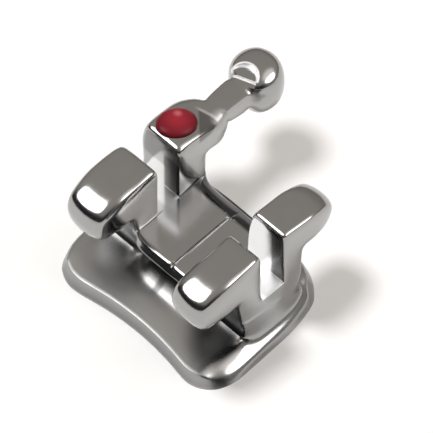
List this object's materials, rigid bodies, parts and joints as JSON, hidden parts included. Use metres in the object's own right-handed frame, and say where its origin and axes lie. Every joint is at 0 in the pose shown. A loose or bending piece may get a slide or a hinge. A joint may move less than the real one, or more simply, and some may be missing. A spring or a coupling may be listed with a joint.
{
  "type": "orthodontic bracket",
  "caption": "Twin tie-wing orthodontic bracket with a straight archwire slot, a contoured bonding pad, a ball hook and a red identification dot.",
  "frame": {"origin": "on the bonding base's flat underside, straight under the middle of the archwire slot", "axes": "+X along the archwire slot from the hooked twin to the plain twin, +Y across the slot towards the hook, +Z away from the tooth"},
  "size_m": [0.0043, 0.0053, 0.0028],
  "materials": {
    "steel": "polished injection-moulded stainless steel, slightly warm grey",
    "red_enamel": "glossy dark red enamel"
  },
  "bodies": {
    "root": {"bracket_body": "steel", "colour_dot": "red_enamel"}
  },
  "joints": []
}
